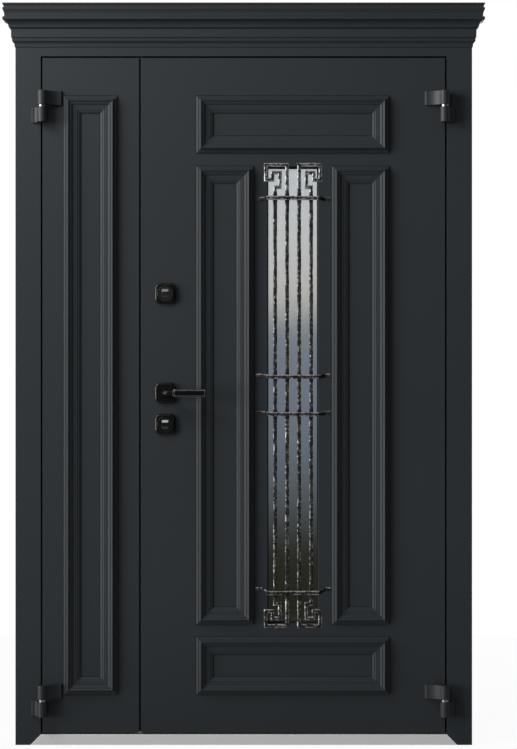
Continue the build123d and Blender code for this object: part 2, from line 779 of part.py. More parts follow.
def lever():
    """Round neck that bends into a chamfered grip, pointing along X."""
    path = FilletPolyline(
        (0, 0, NECK_SEAT),
        (0, 0, LEVER_STAND),
        (NECK_REACH, 0, LEVER_STAND),
        radius=NECK_BEND,
    )
    neck = sweep(Pos(0, 0, NECK_SEAT) * Circle(NECK / 2), path=path)
    grip = block(
        (NECK_REACH, LEVER_LENGTH),
        (-GRIP_TALL / 2, GRIP_TALL / 2),
        (LEVER_STAND - GRIP_DEEP / 2, LEVER_STAND + GRIP_DEEP / 2),
    )
    grip = chamfer(grip.edges(), GRIP_CHAMFER)
    socket = block(
        (-SPINDLE / 2, SPINDLE / 2),
        (-SPINDLE / 2, SPINDLE / 2),
        (NECK_SEAT - OVERCUT, NECK_SEAT + SPINDLE_GRIP),
    )
    return neck + grip - socket


def outside(piece, height):
    """Set a lock piece on the front of the main leaf."""
    return Plane(origin=(LOCK_X, FACE_Y, height), x_dir=(1, 0, 0), z_dir=(0, -1, 0)) * piece


def inside(piece, height):
    """Set a lock piece on the back of the main leaf, pointing the same way."""
    turned = mirror(piece, about=Plane.XY)
    plane = Plane(origin=(LOCK_X, LEAF_BACK_Y, height), x_dir=(1, 0, 0), z_dir=(0, -1, 0))
    return plane * turned


def locks():
    """Rosettes and lock discs on both faces of the main leaf."""
    neck_hole = NECK + 2 * NECK_CLEARANCE
    upper, lower = UPPER_LOCK_HEIGHT, LOWER_LOCK_HEIGHT
    return {
        "handle_rosette": outside(rosette(neck_hole), HANDLE_HEIGHT),
        "upper_lock_rosette": outside(rosette(0), upper),
        "lower_lock_rosette": outside(rosette(0), lower),
        "upper_lock_shutter": outside(lock_disc(), upper),
        "lower_lock_shutter": outside(lock_disc(), lower),
        "inner_handle_rosette": inside(rosette(neck_hole), HANDLE_HEIGHT),
        "inner_lock_rosettes": Compound(
            children=[inside(rosette(0), height) for height in (upper, lower)]
        ),
        "inner_lock_shutters": Compound(
            children=[inside(lock_disc(), height) for height in (upper, lower)]
        ),
    }


def handle():
    """Two levers on one square spindle."""
    reach = SPINDLE_GRIP + NECK_SEAT
    spindle = block(
        (LOCK_X - SPINDLE / 2, LOCK_X + SPINDLE / 2),
        (FACE_Y - reach, LEAF_BACK_Y + reach),
        (HANDLE_HEIGHT - SPINDLE / 2, HANDLE_HEIGHT + SPINDLE / 2),
    )
    return {
        "outer_lever": outside(lever(), HANDLE_HEIGHT),
        "inner_lever": inside(lever(), HANDLE_HEIGHT),
        "spindle": spindle,
    }


def door():
    """Every piece of the door by name."""
    jambs = {side: jamb(sign) for side, sign in SIDES.items()}
    sill = sill_bar()
    pieces = {
        "frame_jamb_left": jambs["left"],
        "frame_jamb_right": jambs["right"],
        "frame_head": head(jambs.values()),
        "sill_bar": sill,
        "threshold_plate": threshold_plate(sill),
        "cornice": cornice(),
        "frame_seal": frame_seal(),
        "window_grille": window_grille(),
    }
    washers = []
    for side, sign in SIDES.items():
        for place, height in HINGE_HEIGHTS.items():
            pieces[f"hinge_post_{place}_{side}"] = at_hinge(hinge_post(), sign, height)
            pieces[f"hinge_wing_{place}_{side}"] = at_hinge(hinge_wing(), sign, height)
            washers.append(at_hinge(hinge_washer(), sign, height))
    pieces["hinge_washers"] = Compound(children=washers)
    return pieces | side_leaf() | main_leaf() | glazing() | locks() | handle()


os.makedirs("parts", exist_ok=True)
for name, piece in door().items():
    export_step(piece, f"parts/{name}.step")
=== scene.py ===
# %% [markdown]
# # A front door of one and a half leaves
#
# The door stands in front of us in its steel frame: a wide leaf, a narrow side leaf, a moulded
# cornice and a forged grille over a tall pane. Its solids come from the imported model, which is
# the fixed frame for everything below. This lesson gives each solid a finish, forges the grille,
# and sets up the light and the camera.

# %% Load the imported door
import json
import math
import random

import bmesh
import bpy
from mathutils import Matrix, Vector


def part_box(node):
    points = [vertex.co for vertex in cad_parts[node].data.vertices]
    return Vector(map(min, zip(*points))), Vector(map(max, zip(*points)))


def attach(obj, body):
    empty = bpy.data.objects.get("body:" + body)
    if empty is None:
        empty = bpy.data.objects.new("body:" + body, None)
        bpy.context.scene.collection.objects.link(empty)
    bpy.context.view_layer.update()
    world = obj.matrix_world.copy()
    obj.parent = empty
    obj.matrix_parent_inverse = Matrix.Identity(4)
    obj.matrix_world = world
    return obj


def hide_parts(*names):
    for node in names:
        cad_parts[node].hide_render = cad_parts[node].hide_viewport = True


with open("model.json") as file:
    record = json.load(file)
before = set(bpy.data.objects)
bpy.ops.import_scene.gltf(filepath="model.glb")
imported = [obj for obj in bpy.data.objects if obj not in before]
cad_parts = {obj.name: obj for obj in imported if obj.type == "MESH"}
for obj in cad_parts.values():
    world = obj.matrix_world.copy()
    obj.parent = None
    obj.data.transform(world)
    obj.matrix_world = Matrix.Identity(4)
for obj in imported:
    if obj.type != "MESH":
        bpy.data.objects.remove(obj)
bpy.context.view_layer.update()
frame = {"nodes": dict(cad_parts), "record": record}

nodes = frame["nodes"]

# %% [markdown]
# ## The camera
#
# The photograph is a straight front view, level with the middle of the door. A long lens from
# about five metres gives its mild perspective: the cornice spreads by a few millimetres and the
# window's upper reveal shows as a thin line. One scale ties pixels to metres on the plane of the
# leaf's face, so the lens follows from the distance and needs no trying out.

# %% Camera at the photograph's place
PHOTO_WIDTH, PHOTO_HEIGHT = 517, 749
METRES_PER_PIXEL = 0.002847
FRAME_MIDDLE_PIXEL = 243.76  # middle of the frame, from the left
FLOOR_PIXEL = 745.0  # underside of the sill, from the top
CAMERA_DISTANCE = 5.0
SENSOR = 36.0


def stand(name, data):
    """Put a new object into the scene."""
    made = bpy.data.objects.new(name, data)
    bpy.context.scene.collection.objects.link(made)
    return made


face_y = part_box("main_leaf_front_panel")[0].y
camera_data = bpy.data.cameras.new("camera")
camera_data.sensor_width = SENSOR
camera_data.lens = SENSOR * CAMERA_DISTANCE / (PHOTO_HEIGHT * METRES_PER_PIXEL)
camera = stand("camera", camera_data)
camera.location = (
    (PHOTO_WIDTH / 2 - FRAME_MIDDLE_PIXEL) * METRES_PER_PIXEL,
    face_y - CAMERA_DISTANCE,
    (FLOOR_PIXEL - PHOTO_HEIGHT / 2) * METRES_PER_PIXEL,
)
camera.rotation_euler = (math.radians(90), 0, 0)
bpy.context.scene.camera = camera
bpy.context.scene.view_settings.view_transform = "Standard"
print("lens", round(camera_data.lens, 1), "mm, eye level", round(camera.location.z, 3), "m")

# %% [markdown]
# ## Writing node trees as sums
#
# A finish is a small sum: a bit of cloud here, a bit of grain there. Wiring that by hand hides
# the idea, so one class wraps a socket and lets Python's own signs add the Math nodes. A second
# class owns a tree and has a single method that adds any other node. Geometry trees and the
# world use the same two classes.

# %% Sockets that take part in sums
class Flow:
    """One value in a node tree."""

    def __init__(self, sheet, socket):
        self.sheet = sheet
        self.socket = socket

    def sum_of(self, operation, first, second):
        return self.sheet.node("ShaderNodeMath", {"operation": operation}, {0: first, 1: second})

    def __add__(self, other):
        return self.sum_of("ADD", self, other)

    def __radd__(self, other):
        return self.sum_of("ADD", other, self)

    def __sub__(self, other):
        return self.sum_of("SUBTRACT", self, other)

    def __rsub__(self, other):
        return self.sum_of("SUBTRACT", other, self)

    def __mul__(self, other):
        return self.sum_of("MULTIPLY", self, other)

    def __rmul__(self, other):
        return self.sum_of("MULTIPLY", other, self)


print("sums ready")

# %% A tree that adds any node
def stretch(ramp, count):
    """The stops of a colour ramp, as many as asked for."""
    while len(ramp.elements) < count:
        ramp.elements.new(1.0)
    return ramp.elements


class Sheet:
    """A node tree with one method that adds any node."""

    def __init__(self, tree):
        self.tree = tree

    def feed(self, socket, value):
        if isinstance(value, Flow):
            self.tree.links.new(value.socket, socket)
        else:
            socket.default_value = value

    def node(self, kind, settings=None, inputs=None, output=0):
        """Add a node: its settings first, then its sockets. Returns one of its outputs."""
        made = self.tree.nodes.new(kind)
        for key, value in (settings or {}).items():
            if key == "stops":
                for stop, (place, colour) in zip(stretch(made.color_ramp, len(value)), value):
                    stop.position = place
                    stop.color = colour
            else:
                setattr(made, key, value)
        for key, value in (inputs or {}).items():
            self.feed(made.inputs[key], value)
        return Flow(self, made.outputs[output])


print("node helper ready")

# %% [markdown]
# ## Finishes
#
# Every finish reads Object coordinates, which are metres in the door's own frame because each
# piece sits at the origin. A noise with features of about half a metre gives the unevenness that
# paint has across a leaf, and one of about a millimetre gives its grain. A Bevel node rounds the
# normals at sharp edges, so that a fold catches light as bent sheet does. The same node, set
# against the true normal, also tells where an edge is.

# %% A finish and what it can read
EDGE_SAMPLES, ROUNDING_SAMPLES = 8, 6
EDGE_TURN = (0.004, 0.05)  # how far a normal turns where an edge begins, and on the edge itself


class Finish(Sheet):
    """A material on a Principled surface."""

    def __init__(self, name, **fixed):
        self.material = bpy.data.materials.new(name)
        self.material.use_nodes = True
        super().__init__(self.material.node_tree)
        self.surface = self.tree.nodes["Principled BSDF"]
        for key, value in fixed.items():
            self.give(key.replace("_", " ").title(), value)
        self.place = self.node("ShaderNodeTexCoord", output="Object")

    def give(self, socket, value):
        """Feed a socket of the surface by name."""
        self.feed(self.surface.inputs[socket], value)

    def noise(self, scale, detail=2.0, stretch_by=(1.0, 1.0, 1.0)):
        """Noise from 0 to 1, with features of about 1 / scale metres."""
        place = self.node("ShaderNodeMapping", None, {"Vector": self.place, "Scale": stretch_by})
        return self.node("ShaderNodeTexNoise", None,
                         {"Vector": place, "Scale": scale, "Detail": detail})

    def mix(self, factor, first, second):
        """Blend of two colours."""
        return self.node("ShaderNodeMix", {"data_type": "RGBA"},
                         {0: factor, 6: first, 7: second}, output=2)

    def ease(self, value, low, high):
        """Smooth step from 0 to 1 between two values."""
        return self.node("ShaderNodeMapRange", {"interpolation_type": "SMOOTHSTEP"},
                         {"Value": value, "From Min": low, "From Max": high})

    def edges(self, reach):
        """1 at sharp edges, falling to 0 at a reach from them."""
        rounded = self.node("ShaderNodeBevel", {"samples": EDGE_SAMPLES}, {"Radius": reach})
        true = self.node("ShaderNodeNewGeometry", output="Normal")
        agree = self.node("ShaderNodeVectorMath", {"operation": "DOT_PRODUCT"},
                          {0: rounded, 1: true}, output="Value")
        return self.ease(1 - agree, *EDGE_TURN)

    def relief(self, height, distance, edge=0.0):
        """Small bumps, on edges rounded by a radius."""
        inputs = {"Height": height, "Distance": distance, "Strength": 1.0}
        if edge:
            inputs["Normal"] = self.node("ShaderNodeBevel", {"samples": ROUNDING_SAMPLES},
                                         {"Radius": edge})
        self.give("Normal", self.node("ShaderNodeBump", None, inputs))


print("finish helper ready")

# %% [markdown]
# ### Paint, hardware and rubber
#
# The leaves and the frame have a satin anthracite paint with a very fine grain. The hinges are
# about as dark and a little smoother. The lock plates are a smooth black with soft edges, their
# keyhole shutters are glossier still, and the lever is duller, its pale edges a painted highlight.
# Rubber seals are matt. All of these are one recipe with other values, so one function makes them.

# %% Recipe for a coat
CLOUDS_PER_METRE = 1.7
CLOUD_TINT = 0.08  # how much lighter and darker the clouds are
CLOUD_GLOSS, SPECKLE_GLOSS = 0.06, 0.04  # how much roughness varies with each noise
EDGE_HIGHLIGHT_REACH = 0.0016  # how far the painted edge highlight reaches from an edge


def coat(name, colour, roughness, shine, grain, depth, edge, painted_edge_highlight=None):
    """Coated surface: slight clouding, a fine grain, softened edges and perhaps a painted highlight
    on them.
    """
    finish = Finish(name)
    cloud = finish.noise(CLOUDS_PER_METRE, detail=3.0)
    speckle = finish.noise(grain)
    light = [channel * (1 + CLOUD_TINT) for channel in colour]
    dark = [channel * (1 - CLOUD_TINT) for channel in colour]
    base = finish.mix(cloud, (*dark, 1.0), (*light, 1.0))
    if painted_edge_highlight:
        # painted highlight: the edges are lightened towards a pale colour
        base = finish.mix(finish.edges(EDGE_HIGHLIGHT_REACH), base, (*painted_edge_highlight, 1.0))
    finish.give("Base Color", base)
    smoothest = roughness - (CLOUD_GLOSS + SPECKLE_GLOSS) / 2
    finish.give("Roughness", smoothest + CLOUD_GLOSS * cloud + SPECKLE_GLOSS * speckle)
    finish.give("Specular IOR Level", shine)
    finish.relief(speckle, depth, edge)
    return finish.material


print("coat recipe ready")

# %% Painted and rubber finishes
GRAIN = 900.0  # features of about a millimetre
FINE_GRAIN = 2 * GRAIN

finishes = {
    "door_paint": coat("door_paint", (0.0208, 0.0256, 0.0292), roughness=0.62, shine=0.27,
                       grain=GRAIN, depth=0.00003, edge=0.0007),
    "black_hardware": coat("black_hardware", (0.0010, 0.0010, 0.0012), roughness=0.30, shine=0.40,
                           grain=FINE_GRAIN, depth=0.00001, edge=0.0016),
    "hinge_grey": coat("hinge_grey", (0.022, 0.0245, 0.026), roughness=0.50, shine=0.27,
                       grain=GRAIN, depth=0.00002, edge=0.0010),
    "seal_rubber": coat("seal_rubber", (0.006, 0.006, 0.006), roughness=0.75, shine=0.3,
                        grain=GRAIN, depth=0.00005, edge=0.0010),
}
# the lever's pale edges are a painted highlight along its chamfers
lever_black = coat("lever_black", (0.0012, 0.0012, 0.0014), roughness=0.40, shine=0.22,
                   grain=FINE_GRAIN, depth=0.00001, edge=0.0008, painted_edge_highlight=(0.42, 0.42, 0.42))
shutter_black = coat("shutter_black", (0.0010, 0.0010, 0.0012), roughness=0.16, shine=0.90,
                     grain=FINE_GRAIN, depth=0.00001, edge=0.0006)
print("coats:", ", ".join(finishes), "and two blacks for lever and shutters")

# %% [markdown]
# ### Bare metals
#
# The threshold is stainless sheet brushed along its length, with a painted highlight on its edges.
# Brushing is a noise drawn out 250 times along X: it varies the tone and the roughness and cuts
# shallow lines. The lock plates in the leaves' edges and the spindle are ground steel, which is
# smoother. The hinge washers are darker and duller, and the spacer between the panes is dark.

# %% Recipe for brushed metal
DRAWN_OUT = (1 / 250, 1.0, 1.0)  # pattern scale along X, Y and Z
LINE_SHADE = 0.86  # tone of the brushed lines
SMOOTHER_BY, LINE_GLOSS = 0.08, 0.12  # the smoothest metal, and how much the lines roughen it
WEAR_PER_METRE, WEAR_GLOSS = 5.0, 0.05
METAL_EDGE_HIGHLIGHT_REACH = 0.004  # how far the painted highlight along an edge reaches
METAL_ROUNDING = 0.0006


def brushed(name, colour, mirror, roughness, lines, depth, edge_highlight_colour=None):
    """Metal with fine lines along X. The mirror value is how much of its light it mirrors."""
    finish = Finish(name, metallic=mirror)
    stroke = finish.noise(lines, detail=3.0, stretch_by=DRAWN_OUT)
    wear = finish.noise(WEAR_PER_METRE)
    dark = [channel * LINE_SHADE for channel in colour]
    base = finish.mix(stroke, (*dark, 1.0), (*colour, 1.0))
    if edge_highlight_colour:
        # painted highlight: edges are lightened towards the given colour
        base = finish.mix(finish.edges(METAL_EDGE_HIGHLIGHT_REACH), base, (*edge_highlight_colour, 1.0))
    finish.give("Base Color", base)
    smoothest = roughness - SMOOTHER_BY
    finish.give("Roughness", smoothest + LINE_GLOSS * stroke + WEAR_GLOSS * wear)
    finish.relief(stroke, depth, METAL_ROUNDING)
    return finish.material


print("brushing recipe ready")

# %% Brushed and bright steel
# the threshold's white edges are a painted highlight
finishes["stainless"] = brushed(
    "stainless", (0.88, 0.88, 0.87), mirror=0.28, roughness=0.34, lines=1500.0, depth=0.00002,
    edge_highlight_colour=(1.0, 1.0, 1.0),
)
finishes["bright_steel"] = brushed(
    "bright_steel", (0.72, 0.72, 0.71), mirror=1.0, roughness=0.16, lines=2500.0, depth=0.000005,
)
washer_steel = brushed(
    "washer_steel", (0.30, 0.30, 0.30), mirror=1.0, roughness=0.36, lines=2500.0, depth=0.000005,
)
finishes["spacer_metal"] = brushed(
    "spacer_metal", (0.10, 0.10, 0.10), mirror=1.0, roughness=0.40, lines=900.0, depth=0.00001,
)
print("four metals made")

# %% [markdown]
# ### Mirror-tinted glass
#
# From outside the pane hardly lets us see in: it mirrors what lies in front of the door, pale
# above and dark below. A clear glass shader would show what is behind it instead. So each pane is
# a thin mirroring film. The outer one lets part of the light through to the inner one, which
# mirrors it again. Both have the faint waves that a sheet of glass has.

# %% Two panes
PANE_ROUGHNESS, WAVE_GLOSS = 0.05, 0.02
WAVE_DEPTH = 0.00002


def pane(name, colour, alpha, waves_per_metre):
    """Mirroring film on glass: its colour and how much light it stops."""
    finish = Finish(name, metallic=1.0)
    wave = finish.noise(waves_per_metre, detail=1.0)
    finish.give("Base Color", (*colour, 1.0))
    finish.give("Roughness", PANE_ROUGHNESS + WAVE_GLOSS * wave)
    finish.give("Alpha", alpha)
    finish.relief(wave, WAVE_DEPTH)
    return finish.material


finishes["window_glass"] = pane("window_glass", (0.66, 0.685, 0.71), alpha=0.6, waves_per_metre=9.0)
inner_glass = pane("inner_window_glass", (0.75, 0.78, 0.80), alpha=1.0, waves_per_metre=7.0)
print("glass made")

# %% [markdown]
# ### Forged iron
#
# The grille is black, and silver has been rubbed over its raised marks. The forging step below
# stores how well each point is rubbed, so the silver can follow the hammered edges instead of a
# pattern in space; the same value also carries painted shade and a painted highlight. Patches of
# a few millimetres decide where it holds, and a finer scale roughens the iron.

# %% Black iron with rubbed edges
RUB_AND_PAINTED_LIGHT = "rubbed"  # about 1 on a bar's corners, less on its faces, 0 beside a crossing as painted shade
BARE_FACE = 0.3  # the most that the faces of a plainly rubbed bar get
PATCHES_PER_METRE, SCALE_PER_METRE = 140.0, 700.0
PATCH_WEIGHT = 1.3
SILVER_HOLDS = (1.46, 1.80)  # rub and patch together, where silver begins and is full
MOTTLE_HOLDS = (0.40, 0.62)  # patch value where the faces turn from black to grey
IRON_BLACK, IRON_GREY = (0.003, 0.003, 0.0032, 1), (0.040, 0.040, 0.042, 1)
SILVER = (0.40, 0.395, 0.39, 1)
IRON_SHINE, SILVER_METAL = 0.25, 0.55
IRON_ROUGHNESS, SILVER_SMOOTHER, SCALE_ROUGHER = 0.52, 0.12, 0.10
PATCH_RELIEF, SCALE_RELIEF = 0.6, 0.4  # shares of the relief
IRON_RELIEF = 0.00025


def forged_iron():
    """Black iron, grey in patches on its faces and silver on its rubbed corners."""
    finish = Finish("forged_iron")
    rubbed = finish.node("ShaderNodeAttribute", {"attribute_name": RUB_AND_PAINTED_LIGHT}, output="Fac")
    patch = finish.noise(PATCHES_PER_METRE, detail=3.0)
    scale = finish.noise(SCALE_PER_METRE)
    silver = finish.ease(rubbed + PATCH_WEIGHT * patch, *SILVER_HOLDS)
    mottle = finish.ease(rubbed, 0.0, BARE_FACE) * finish.ease(patch, *MOTTLE_HOLDS)
    iron = finish.mix(mottle, IRON_BLACK, IRON_GREY)
    finish.give("Base Color", finish.mix(silver, iron, SILVER))
    finish.give("Metallic", SILVER_METAL * silver)
    finish.give("Specular IOR Level", IRON_SHINE)
    finish.give("Roughness", IRON_ROUGHNESS - SILVER_SMOOTHER * silver + SCALE_ROUGHER * scale)
    finish.relief(patch * PATCH_RELIEF + scale * SCALE_RELIEF, IRON_RELIEF)
    return finish.material


finishes["forged_iron"] = forged_iron()
print("iron made")

# %% [markdown]
# ## Dressing the solids
#
# Each solid's finish is named in the record that comes with the model, and a few solids have one
# of their own. A material slot of its mesh is all that changes: the solid itself stays as it is.

# %% Give every solid its finish
LEVERS = ("outer_lever", "inner_lever")
SHUTTERS = ("upper_lock_shutter", "lower_lock_shutter", "inner_lock_shutters")
own_finish = {"inner_glass_pane": inner_glass, "hinge_washers": washer_steel}
own_finish |= dict.fromkeys(LEVERS, lever_black)
own_finish |= dict.fromkeys(SHUTTERS, shutter_black)
for subpart in frame["record"]["subparts"]:
    name = subpart["node"]
    slots = nodes[name].data.materials
    slots.clear()
    slots.append(own_finish.get(name, finishes[subpart["material_slot"]]))

# %% [markdown]
# ## Forging the grille
#
# A smith bends each loop from one square bar, closes it in a square key at both ends, and ties
# the bars with four crossbars whose ends are set back on the leaf. A bar could be a curve with a
# bevel, but a curve pinches a square section at its corners. So the section is carried along
# the path here, ring by ring, and mitred at each corner.

# %% Rings along a path
def ring_places(length, lead, step):
    """Distances along one straight run, clear of the mitres at its two ends."""
    count = max(2, round((length - 2 * lead) / step))
    return [lead + (length - 2 * lead) * i / count for i in range(count + 1)]


class Path:
    """Straight runs through corners in one plane, with a mitre at each corner."""

    STEP = 0.0035  # from ring to ring

    def __init__(self, corners, normal, closed):
        self.normal = Vector(normal)
        self.closed = closed
        ends = corners[1:] + corners[:1] if closed else corners[1:]
        self.runs = list(zip(corners, ends))
        self.length = sum((end - start).length for start, end in self.runs)

    def side(self, along):
        return along.cross(self.normal).normalized()

    def rings(self, lead):
        """Centre, sideways vector and distance of every ring, mitres included."""
        made = []
        before = 0.0
        for number, (start, end) in enumerate(self.runs):
            along = (end - start).normalized()
            side = self.side(along)
            if number or self.closed:
                last_start, last_end = self.runs[number - 1]
                last_side = self.side((last_end - last_start).normalized())
                bisector = (side + last_side).normalized()
                made.append((start, bisector / bisector.dot(side), before))
            else:
                made.append((start, side, before))
            length = (end - start).length
            for place in ring_places(length, lead, self.STEP):
                made.append((start + along * place, side, before + place))
            before += length
        if not self.closed:
            start, end = self.runs[-1]
            made.append((end, self.side((end - start).normalized()), before))
        return made


print("path ready")

# %% [markdown]
# ### The hammered section
#
# The hammer leaves three kinds of unevenness: the faces swell and shrink, the corners are
# flattened by different amounts, and the bar swells where it is driven tight against a crossbar.
# Each is a smooth random curve along the bar, from a fixed seed. The section also carries how
# well each of its points is rubbed: best on the corners, less on the faces, and not at all beside
# a crossing, which is painted shade where the bars meet.

# %% A smooth random curve
def drift(rng, length, pitch):
    """Smooth random curve along a bar, between -1 and 1."""
    knots = [rng.uniform(-1, 1) for _ in range(int(length / pitch) + 3)]

    def value(along):
        place = along / pitch
        first = int(place)
        share = place - first
        share = share * share * (3 - 2 * share)
        return knots[first] * (1 - share) + knots[first + 1] * share

    return value


print("random curves ready")

# %% A bar and its section
FACE_GAIN = 2.5  # how fast the faces of a very well rubbed bar turn silver too


class Bar(Path):
    """A hammered bar of square section along a path."""

    LEAD = 1.3  # first ring after a corner, in half widths
    SWELL, SWELL_REACH = 0.26, 0.016  # at a crossing
    UNEVEN, UNEVEN_PITCH = 0.12, 0.019  # of the faces
    FLAT, FLAT_SPREAD, FLAT_PITCH = 0.42, 0.20, 0.011  # of the corners, in half widths
    CROSSING_SHADE = 4.0  # painted shade: the rubbing fades to nothing over the outer quarter of the swell's reach

    def __init__(self, corners, normal, half, closed, seed, rubbing_and_light, tight=()):
        super().__init__(corners, normal, closed)
        self.half = half
        self.rubbing_and_light = rubbing_and_light
        self.tight = tight
        rng = random.Random(seed)
        self.swell = [drift(rng, self.length, self.UNEVEN_PITCH) for _ in range(4)]
        self.flats = [drift(rng, self.length, self.FLAT_PITCH) for _ in range(4)]

    def tightness(self, centre):
        """1 at a crossing, falling to 0 at the swell's reach."""
        near = [1 - (centre - place).length / self.SWELL_REACH for place in self.tight]
        return max([0.0, *near])

    def section(self, place, centre):
        """Twelve points of a flattened square, and how well each is rubbed, with painted shade by a
        crossing.
        """
        tightness = self.tightness(centre)
        grow = 1 + self.SWELL * tightness
        right, outer, left, inner = (
            half * grow * (1 + self.UNEVEN * swell(place))
            for half, swell in zip(self.half * 2, self.swell)
        )
        flats = [min(self.half) * (self.FLAT + self.FLAT_SPREAD * flat(place)) for flat in self.flats]
        # painted shade: no silver beside a crossing
        clear = 1 - min(1.0, self.CROSSING_SHADE * tightness)
        corners = [(right, outer), (-left, outer), (-left, -inner), (right, -inner)]
        points = []
        for number, ((x, z), flat) in enumerate(zip(corners, flats)):
            rubbed = self.rubbing_and_light(centre, z > 0) * clear
            face = BARE_FACE * min(1.0, rubbed) + FACE_GAIN * max(0.0, rubbed - 1.0)
            across = (x, z - math.copysign(flat, z), rubbed)
            along = (x - math.copysign(flat, x), z, rubbed)
            if number % 2 == 0:
                points += [across, along, (0.0, z, face)]
            else:
                points += [along, across, (x, 0.0, face)]
        return points

    def build(self, mesh, layer):
        """Add the bar's faces to a mesh."""
        loops = []
        for centre, side, place in self.rings(self.LEAD * max(self.half)):
            loop = []
            for across, out, rubbed in self.section(place, centre):
                vert = mesh.verts.new(centre + side * across + self.normal * out)
                vert[layer] = rubbed
                loop.append(vert)
            loops.append(loop)
        pairs = list(zip(loops, loops[1:]))
        if self.closed:
            pairs.append((loops[-1], loops[0]))
        for first, second in pairs:
            for i in range(len(first)):
                j = (i + 1) % len(first)
                mesh.faces.new((first[i], first[j], second[j], second[i]))
        if not self.closed:
            mesh.faces.new(list(reversed(loops[0])))
            mesh.faces.new(loops[-1])


print("bar forging ready")

# %% [markdown]
# ### Loops and crossbars
#
# The loops are symmetrical: one list of corners gives the upper key, its mirror the lower one,
# and a sign the other loop. The crossbars run from foot to foot, bent back at the window's
# edges. Their places are read from the solid that this grille stands for and from the pane.

# %% Sizes of the grille
BAR = 0.0105
INNER_BAR, OUTER_BAR = 0.0170, 0.0510  # bar places, from the grille's middle
KEY_JOG, KEY_CURL, KEY_OUTER = 0.0375, 0.0580, 0.0770
CURL_TOP, CURL_FOOT, JOG_DROP = 0.0215, 0.0420, 0.0625  # down from the top bar
CROSSBAR_DROP, CROSSBAR_PAIR = 0.094, 0.106  # outer ones below the top bar, inner ones apart
CROSSBAR_TALL, CROSSBAR_THICK = 0.0125, 0.008
CROSSBAR_FOOT = 0.017
BAR_SINK = 0.001  # the loops are let into the crossbars
FOOT_RISES = (0.0, 0.007, 0.003, 0.003)  # how far the feet of each crossbar are bent up
GLASS_LAP = 0.010  # the leaf covers this much of the pane's rim

grille_low, grille_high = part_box("window_grille")
pane_low, pane_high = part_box("outer_glass_pane")
middle = Vector(((grille_low.x + grille_high.x) / 2, 0, (grille_low.z + grille_high.z) / 2))
top = (grille_high.z - grille_low.z) / 2 - BAR / 2
grille_reach = (grille_high.x - grille_low.x) / 2
window_reach = (pane_high.x - pane_low.x) / 2 - GLASS_LAP
crossbar_y = grille_low.y + CROSSBAR_THICK / 2
bar_y = grille_low.y + CROSSBAR_THICK - BAR_SINK + BAR / 2
heights = (top - CROSSBAR_DROP, CROSSBAR_PAIR / 2)
crossings = [sign * height for height in heights for sign in (1, -1)]
print("grille reaches", round(grille_reach, 4), "m to each side, window", round(window_reach, 4), "m")

# %% Corners of the bars
def loop_corners(sign):
    """Corners of one loop, from the inner bar round both keys."""
    upper = [
        (INNER_BAR, top), (KEY_OUTER, top), (KEY_OUTER, top - CURL_FOOT),
        (KEY_CURL, top - CURL_FOOT), (KEY_CURL, top - CURL_TOP), (KEY_JOG, top - CURL_TOP),
        (KEY_JOG, top - JOG_DROP), (OUTER_BAR, top - JOG_DROP),
    ]
    lower = [(x, -z) for x, z in reversed(upper)]
    return [middle + Vector((sign * x, bar_y, z)) for x, z in upper + lower]


def crossbar_corners(height, rise):
    """Centre line of a crossbar from foot to foot."""
    seat_y = face_y - CROSSBAR_THICK / 2
    half = [
        (window_reach - CROSSBAR_THICK / 4, crossbar_y, height),
        (grille_reach - CROSSBAR_FOOT, seat_y, height + rise),
        (grille_reach, seat_y, height + rise),
    ]
    line = [(-x, y, z) for x, y, z in reversed(half)] + half
    return [middle + Vector(point) for point in line]


print("a loop has", len(loop_corners(1)), "corners, a crossbar", len(crossbar_corners(0, 0)))

# %% [markdown]
# ### Where the silver is rubbed, and where light and shade are painted
#
# The upper keys are rubbed so well that their faces turn grey too, the lower ones only on their
# corners, and the long uprights least. A crossbar is bright along its upper edge, a painted
# highlight, and less along the lower one, apart from the top crossbar, which is bright along
# both. Its bends are black below, a painted shade where they lie close to the leaf.

# %% Rub of the loops and the crossbars
UPRIGHT_RUB, UPPER_KEY_RUB, LOWER_KEY_RUB = 0.86, 1.10, 0.98
UPPER_EDGE_RUB_AND_HIGHLIGHT, LOWER_EDGE_RUB = 1.12, 0.97  # of a crossbar, in front of the window; the upper one higher as a painted highlight
END_UPPER_RUB, FOOT_LOWER_RUB = 0.98, 0.60  # of its bends and feet; the bends' lower corners get none, as painted shade


def loop_rub(centre, outer):
    """How well a loop's corners are rubbed, alike on its outer and its inner side."""
    above = centre.z - middle.z
    if abs(above) < top - JOG_DROP - BAR:
        return UPRIGHT_RUB
    return UPPER_KEY_RUB if above > 0 else LOWER_KEY_RUB


def crossbar_rub_and_light(centre, upper):
    """How well a crossbar's upper or lower corners are rubbed, with painted highlight and painted
    shade.
    """
    outward = abs(centre.x - middle.x)
    if outward < window_reach:
        on_top_bar = centre.z > middle.z + CROSSBAR_PAIR
        # painted highlight: the upper edge gets more silver than the lower one
        return UPPER_EDGE_RUB_AND_HIGHLIGHT if upper or on_top_bar else LOWER_EDGE_RUB
    on_foot = outward > grille_reach - CROSSBAR_FOOT
    # painted shade: the lower corners of the bends stay black
    return END_UPPER_RUB if upper else FOOT_LOWER_RUB * on_foot


print("keys", UPPER_KEY_RUB, "and", LOWER_KEY_RUB, "uprights", UPRIGHT_RUB)

# %% Bend the bars into one blank
LOOP_SEED, CROSSBAR_SEED = 11, 21
CROSSBAR_TRIM = 0.92  # forged a little slimmer than the solid


def settle(mesh, name):
    """Turn a mesh under construction into plain mesh data, with its faces outwards."""
    bmesh.ops.recalc_face_normals(mesh, faces=mesh.faces)
    data = bpy.data.meshes.new(name)
    mesh.to_mesh(data)
    mesh.free()
    return data


